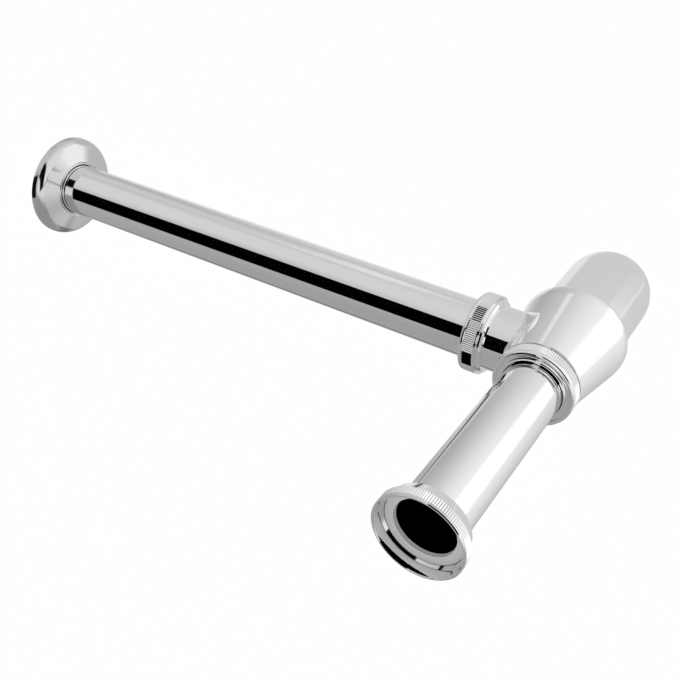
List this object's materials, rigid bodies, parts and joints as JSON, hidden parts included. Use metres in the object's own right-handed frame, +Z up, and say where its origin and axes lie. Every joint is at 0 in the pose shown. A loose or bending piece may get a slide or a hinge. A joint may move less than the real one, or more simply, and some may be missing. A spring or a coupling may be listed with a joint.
{
  "type": "basin bottle trap",
  "caption": "Chromed bottle trap for a wash basin: knurled coupling nut, telescopic inlet tube, bell body with screw-on bottle, and outlet tube with wall flange.",
  "frame": {"origin": "centre of the inlet washer's top face, inside the coupling nut, where the basin waste's spigot seats", "axes": "+Z up the inlet tube and out of the coupling nut; +X along the outlet tube towards the wall"},
  "size_m": [0.3883, 0.0642, 0.2416],
  "materials": {
    "chrome": "polished chrome on brass",
    "flange_chrome": "satin chrome",
    "bottle_chrome": "polished chrome on brass",
    "seal_rubber": "matt moulded rubber",
    "washer_grey": "grey fibre-filled rubber",
    "slip_white": "natural nylon"
  },
  "bodies": {
    "coupling_nut": {"coupling_nut": "chrome"},
    "coupling_slip_ring": {"coupling_slip_ring": "slip_white"},
    "inlet_tube": {"inlet_tube": "chrome", "inlet_washer": "washer_grey"},
    "inlet_seal": {"inlet_seal": "seal_rubber"},
    "trap_body": {"trap_body": "chrome"},
    "inlet_slip_ring": {"inlet_slip_ring": "slip_white"},
    "inlet_nut": {"inlet_nut": "chrome"},
    "bottle_seal": {"bottle_seal": "seal_rubber"},
    "bottle": {"bottle": "bottle_chrome"},
    "outlet_slip_ring": {"outlet_slip_ring": "slip_white"},
    "outlet_nut": {"outlet_nut": "chrome"},
    "outlet_seal": {"outlet_seal": "seal_rubber"},
    "outlet_tube": {"outlet_tube": "chrome"},
    "flange_grip_ring": {"flange_grip_ring": "seal_rubber"},
    "wall_flange": {"wall_flange": "flange_chrome"}
  },
  "joints": [
    {"name": "coupling_spin", "type": "hinge", "parent": "coupling_nut", "child": "coupling_slip_ring", "pos_m": [0, 0, 0], "axis": [0, 0, 1], "continuous": true},
    {"name": "coupling_slide", "type": "slide", "parent": "coupling_slip_ring", "child": "inlet_tube", "axis": [0, 0, 1], "range_m": [0, 0.06]},
    {"name": "height_adjust", "type": "slide", "parent": "inlet_tube", "child": "inlet_seal", "axis": [0, 0, 1], "range_m": [-0.04, 0.018]},
    {"name": "body_swivel", "type": "hinge", "parent": "inlet_seal", "child": "trap_body", "pos_m": [0, 0, -0.1392], "axis": [0, 0, 1], "continuous": true},
    {"name": "inlet_nut_travel", "type": "slide", "parent": "trap_body", "child": "inlet_slip_ring", "axis": [0, 0, 1], "range_m": [0, 0.00501]},
    {"name": "inlet_nut_turn", "type": "hinge", "parent": "inlet_slip_ring", "child": "inlet_nut", "pos_m": [0, 0, -0.1392], "axis": [0, 0, 1], "range_deg": [0, 900]},
    {"name": "bottle_travel", "type": "slide", "parent": "trap_body", "child": "bottle_seal", "axis": [0, 0, -1], "range_m": [0, 0.00701]},
    {"name": "bottle_turn", "type": "hinge", "parent": "bottle_seal", "child": "bottle", "pos_m": [0, 0, -0.1392], "axis": [0, 0, -1], "range_deg": [0, 1260]},
    {"name": "outlet_nut_travel", "type": "slide", "parent": "trap_body", "child": "outlet_slip_ring", "axis": [1, 0, 0], "range_m": [0, 0.00501]},
    {"name": "outlet_nut_turn", "type": "hinge", "parent": "outlet_slip_ring", "child": "outlet_nut", "pos_m": [0.04, 0, -0.1392], "axis": [1, 0, 0], "range_deg": [0, 900]},
    {"name": "outlet_swivel", "type": "hinge", "parent": "trap_body", "child": "outlet_seal", "pos_m": [0.04, 0, -0.1392], "axis": [1, 0, 0], "continuous": true},
    {"name": "outlet_adjust", "type": "slide", "parent": "outlet_seal", "child": "outlet_tube", "axis": [1, 0, 0], "range_m": [-0.005, 0.011]},
    {"name": "flange_slide", "type": "slide", "parent": "outlet_tube", "child": "flange_grip_ring", "axis": [1, 0, 0], "range_m": [-0.26, 0.009]},
    {"name": "flange_spin", "type": "hinge", "parent": "flange_grip_ring", "child": "wall_flange", "pos_m": [0.34, 0, -0.1392], "axis": [1, 0, 0], "continuous": true}
  ],
  "couplings": [
    {"joint": "inlet_nut_travel", "follows": "inlet_nut_turn", "m_per_rad": 0.00031831},
    {"joint": "bottle_travel", "follows": "bottle_turn", "m_per_rad": 0.00031831},
    {"joint": "outlet_nut_travel", "follows": "outlet_nut_turn", "m_per_rad": 0.00031831}
  ]
}
